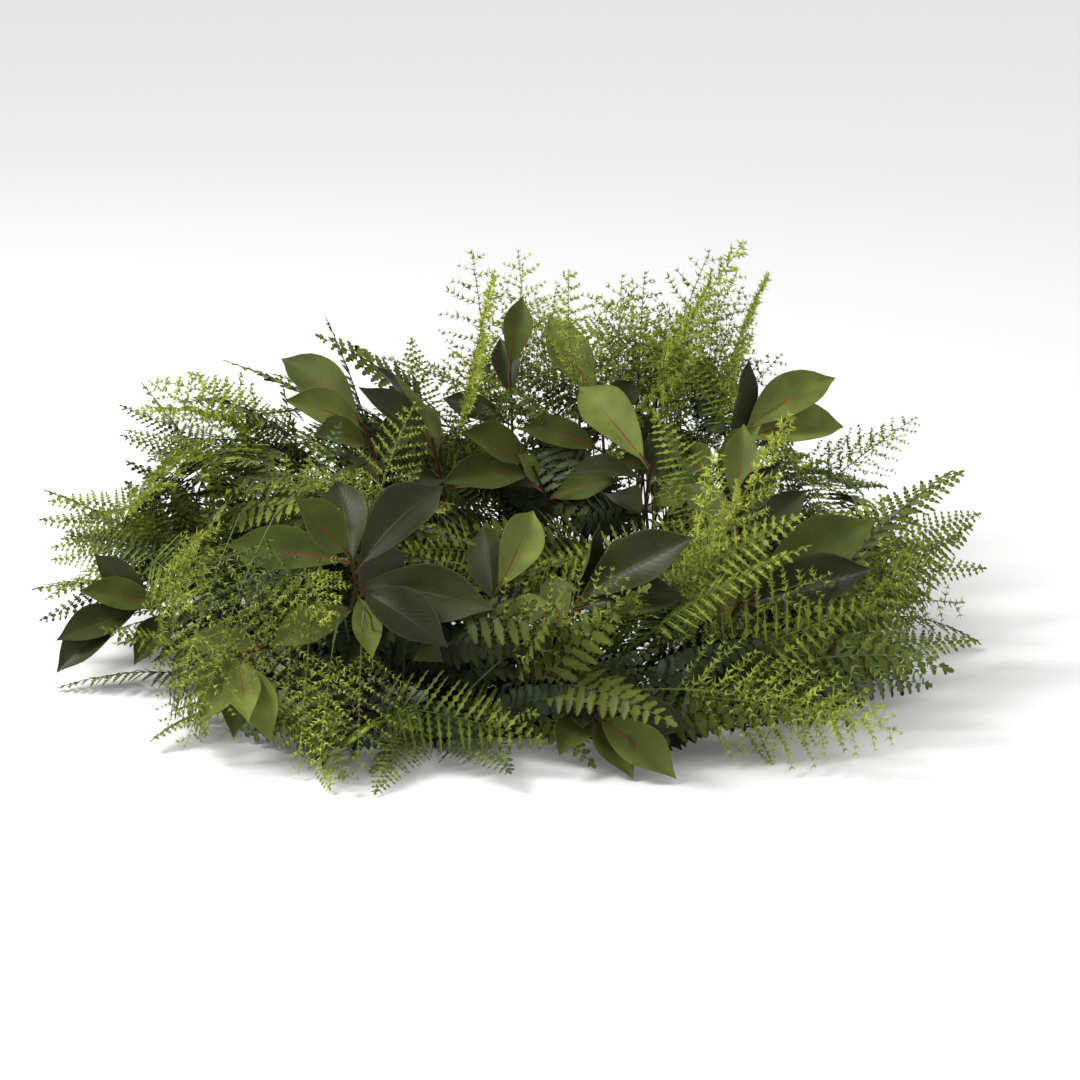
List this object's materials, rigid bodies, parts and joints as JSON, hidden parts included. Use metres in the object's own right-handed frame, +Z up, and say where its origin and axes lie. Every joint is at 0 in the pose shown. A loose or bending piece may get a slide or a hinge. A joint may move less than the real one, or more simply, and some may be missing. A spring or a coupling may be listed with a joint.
{
  "type": "greenery garland",
  "caption": "Garland of artificial mixed greenery laid round in a ring: broad laurel leaves, fern fronds and feathery asparagus on one bound stem.",
  "frame": {"origin": "on the table under the middle of the garland's box", "axes": "+X to the right as seen from the front of the garland, +Y to its back, +Z up"},
  "size_m": [0.9438, 0.8762, 0.3739],
  "materials": {
    "stem_tape": "matt floral tape wound over wire",
    "laurel_green": "coated leaf fabric, dark with a cool sheen above and light green below, with moulded veins",
    "lace_fern_green": "matt soft plastic, yellow-green at the tips",
    "scalloped_fern_green": "matt soft plastic, olive green with a grey-green rib",
    "asparagus_green": "matt soft plastic, fine yellow-green needles"
  },
  "bodies": {
    "root": {"end_tie": "stem_tape", "garland_stem": "stem_tape", "lace_pick_01": "lace_fern_green", "lace_pick_02": "lace_fern_green", "lace_pick_03": "lace_fern_green", "lace_pick_04": "lace_fern_green", "lace_pick_05": "lace_fern_green", "lace_pick_06": "lace_fern_green", "lace_pick_07": "lace_fern_green", "lace_pick_08": "lace_fern_green", "lace_pick_09": "lace_fern_green", "lace_pick_10": "lace_fern_green", "lace_pick_11": "lace_fern_green", "lace_pick_12": "lace_fern_green", "lace_pick_13": "lace_fern_green", "lace_pick_14": "lace_fern_green", "lace_pick_15": "lace_fern_green", "lace_pick_16": "lace_fern_green", "lace_pick_17": "lace_fern_green", "lace_pick_18": "lace_fern_green", "laurel_pick_01": "laurel_green", "laurel_pick_02": "laurel_green", "laurel_pick_03": "laurel_green", "laurel_pick_04": "laurel_green", "laurel_pick_05": "laurel_green", "laurel_pick_06": "laurel_green", "laurel_pick_07": "laurel_green", "laurel_pick_08": "laurel_green", "laurel_pick_09": "laurel_green", "laurel_pick_10": "laurel_green", "laurel_pick_11": "laurel_green", "laurel_pick_12": "laurel_green", "laurel_pick_13": "laurel_green", "laurel_pick_14": "laurel_green", "laurel_pick_15": "laurel_green", "laurel_pick_16": "laurel_green", "laurel_pick_17": "laurel_green", "plume_pick_01": "asparagus_green", "plume_pick_02": "asparagus_green", "plume_pick_03": "asparagus_green", "plume_pick_04": "asparagus_green", "plume_pick_05": "asparagus_green", "plume_pick_06": "asparagus_green", "plume_pick_07": "asparagus_green", "plume_pick_08": "asparagus_green", "plume_pick_09": "asparagus_green", "plume_pick_10": "asparagus_green", "plume_pick_11": "asparagus_green", "plume_pick_12": "asparagus_green", "plume_pick_13": "asparagus_green", "scallop_pick_01": "scalloped_fern_green", "scallop_pick_02": "scalloped_fern_green", "scallop_pick_03": "scalloped_fern_green", "scallop_pick_04": "scalloped_fern_green", "scallop_pick_05": "scalloped_fern_green", "scallop_pick_06": "scalloped_fern_green", "scallop_pick_07": "scalloped_fern_green", "scallop_pick_08": "scalloped_fern_green", "scallop_pick_09": "scalloped_fern_green", "scallop_pick_10": "scalloped_fern_green"}
  },
  "joints": []
}
